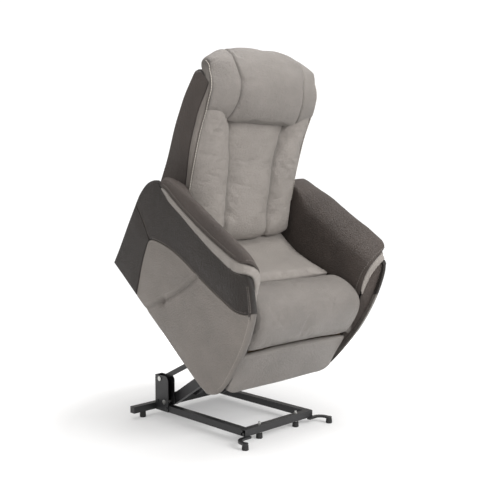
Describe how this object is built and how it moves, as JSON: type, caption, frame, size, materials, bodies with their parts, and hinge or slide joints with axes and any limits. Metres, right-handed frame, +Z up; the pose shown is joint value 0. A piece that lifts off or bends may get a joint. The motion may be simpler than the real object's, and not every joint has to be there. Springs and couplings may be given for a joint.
{
  "type": "lift recliner chair",
  "caption": "Powered lift and recline armchair in two-tone leather on a black tubular lifting base, with a leg rest and a tipping headrest.",
  "frame": {"origin": "on the floor, at the middle of the bounding box of the chair at the top of its lift", "axes": "+Z up, the chair faces -Y, +X is the sitter's left"},
  "size_m": [0.808, 0.8744, 1.4761],
  "materials": {
    "light_leather": "satin",
    "dark_leather": "satin",
    "black_steel": "satin",
    "bright_steel": "satin",
    "black_bolts": "satin",
    "rod_steel": "polished",
    "spring_steel": "satin",
    "foot_rubber": "matte",
    "end_cap_plastic": "matte",
    "black_plastic": "matte",
    "timber": "matte"
  },
  "bodies": {
    "base": {"base_rail_left": "black_steel", "base_rail_right": "black_steel", "base_front_bar": "black_steel", "base_rear_bar": "black_steel", "rear_bar_caps": "end_cap_plastic", "rear_bar_feet": "foot_rubber", "upright_left": "black_steel", "upright_right": "black_steel", "base_cross_tube": "black_steel", "levelling_feet": "foot_rubber", "levelling_bolts": "bright_steel", "outriggers": "black_steel", "outrigger_feet": "foot_rubber", "frame_bolts": "black_bolts", "base_pivot_pins": "bright_steel"},
    "lift_arms": {"lift_arms": "black_steel", "lift_torque_tube": "black_steel"},
    "upper_links": {"upper_links": "black_steel"},
    "lift_drive": {"lift_motor": "black_plastic"},
    "lift_rod": {"lift_rod": "rod_steel"},
    "seat_frame": {"carriage_rails": "black_steel", "carriage_cross_tubes": "black_steel", "carriage_pins": "bright_steel", "seat_side_rails": "timber", "seat_cross_rails": "timber", "seat_springs": "spring_steel", "seat_cushion": "light_leather", "seat_front_roll": "light_leather", "left_side_panel": "light_leather", "left_rear_panel": "dark_leather", "left_arm_panel": "dark_leather", "left_arm_gusset": "light_leather", "left_arm_top": "dark_leather", "right_side_panel": "light_leather", "right_rear_panel": "dark_leather", "right_arm_panel": "dark_leather", "right_arm_gusset": "light_leather", "right_arm_top": "dark_leather", "rear_cover": "dark_leather", "control_box": "black_plastic", "power_inlet": "black_plastic"},
    "backrest": {"back_frame": "black_steel", "back_shell": "dark_leather", "back_cushion": "light_leather", "back_gussets": "light_leather", "headrest_lower_pad": "light_leather"},
    "headrest": {"headrest_cushion": "light_leather", "headrest_frame": "black_steel"},
    "footrest": {"footrest_board": "timber", "footrest_cushion": "light_leather"},
    "leg_swing": {"leg_swing_links": "black_steel"},
    "leg_extension": {"leg_extension_links": "black_steel"},
    "leg_parallel": {"leg_parallel_links": "black_steel"},
    "leg_control": {"leg_control_links": "black_steel"},
    "leg_drive": {"leg_motor": "black_plastic"},
    "leg_rod": {"leg_rod": "rod_steel"},
    "back_drive": {"back_motor": "black_plastic"},
    "back_rod": {"back_rod": "rod_steel"}
  },
  "joints": [
    {"name": "lift", "type": "hinge", "parent": "lift_arms", "child": "seat_frame", "pos_m": [0, -0.06462, 0.27582], "axis": [1, 0, 0], "range_deg": [-68.08, 0]},
    {"name": "lift_arm_swing", "type": "hinge", "parent": "base", "child": "lift_arms", "pos_m": [0, 0.258, 0.066], "axis": [1, 0, 0], "range_deg": [0, 29.7]},
    {"name": "upper_link_swing", "type": "hinge", "parent": "base", "child": "upper_links", "pos_m": [0, 0.288, 0.16], "axis": [1, 0, 0], "range_deg": [0, 34.82]},
    {"name": "lift_motor_swing", "type": "hinge", "parent": "base", "child": "lift_drive", "pos_m": [0, 0.266, 0.074], "axis": [1, 0, 0], "range_deg": [0, 12.28]},
    {"name": "lift_rod_slide", "type": "slide", "parent": "lift_drive", "child": "lift_rod", "axis": [0, -0.6483, 0.7614], "range_m": [-0.21197, 0]},
    {"name": "leg_rest", "type": "hinge", "parent": "seat_frame", "child": "leg_swing", "pos_m": [0, -0.18058, 0.39637], "axis": [-1, 0, 0], "range_deg": [0, 90]},
    {"name": "leg_extension_fold", "type": "hinge", "parent": "leg_swing", "child": "leg_extension", "pos_m": [0, -0.08565, 0.26758], "axis": [-1, 0, 0], "range_deg": [-121.1, 0]},
    {"name": "leg_parallel_fold", "type": "hinge", "parent": "leg_swing", "child": "leg_parallel", "pos_m": [0, -0.12127, 0.3159], "axis": [-1, 0, 0], "range_deg": [-121.1, 0]},
    {"name": "footrest_tilt", "type": "hinge", "parent": "leg_extension", "child": "footrest", "pos_m": [0, -0.2231, 0.318], "axis": [-1, 0, 0], "range_deg": [0, 121.1]},
    {"name": "leg_control_swing", "type": "hinge", "parent": "seat_frame", "child": "leg_control", "pos_m": [0, -0.24154, 0.38634], "axis": [-1, 0, 0], "range_deg": [0, 98.64]},
    {"name": "leg_motor_swing", "type": "hinge", "parent": "seat_frame", "child": "leg_drive", "pos_m": [0, 0.16109, 0.59316], "axis": [-1, 0, 0], "range_deg": [0, 1.26]},
    {"name": "leg_rod_slide", "type": "slide", "parent": "leg_drive", "child": "leg_rod", "axis": [0, -0.8078, -0.5895], "range_m": [0, 0.0632]},
    {"name": "back_recline", "type": "hinge", "parent": "seat_frame", "child": "backrest", "pos_m": [0, 0.11647, 0.81045], "axis": [-1, 0, 0], "range_deg": [0, 38]},
    {"name": "back_motor_swing", "type": "hinge", "parent": "seat_frame", "child": "back_drive", "pos_m": [0, -0.08616, 0.38188], "axis": [-1, 0, 0], "range_deg": [-4.46, 0]},
    {"name": "back_rod_slide", "type": "slide", "parent": "back_drive", "child": "back_rod", "axis": [0, 0.5879, 0.8089], "range_m": [-0.04911, 0]},
    {"name": "headrest_tip", "type": "hinge", "parent": "backrest", "child": "headrest", "pos_m": [0, -0.12314, 1.35424], "axis": [1, 0, 0], "range_deg": [0, 30]}
  ],
  "couplings": [
    {"joint": "lift_arm_swing", "follows": "lift", "ratio": -0.436},
    {"joint": "upper_link_swing", "follows": "lift", "ratio": -0.51109},
    {"joint": "lift_motor_swing", "follows": "lift", "ratio": -0.18},
    {"joint": "lift_rod_slide", "follows": "lift", "m_per_rad": 0.17821},
    {"joint": "leg_extension_fold", "follows": "leg_rest", "ratio": -1.345},
    {"joint": "leg_parallel_fold", "follows": "leg_rest", "ratio": -1.345},
    {"joint": "footrest_tilt", "follows": "leg_rest", "ratio": 1.345},
    {"joint": "leg_control_swing", "follows": "leg_rest", "ratio": 1.0954},
    {"joint": "leg_motor_swing", "follows": "leg_rest", "ratio": 0.013404},
    {"joint": "leg_rod_slide", "follows": "leg_rest", "m_per_rad": 0.040109},
    {"joint": "back_motor_swing", "follows": "back_recline", "ratio": -0.11614},
    {"joint": "back_rod_slide", "follows": "back_recline", "m_per_rad": -0.073748}
  ]
}
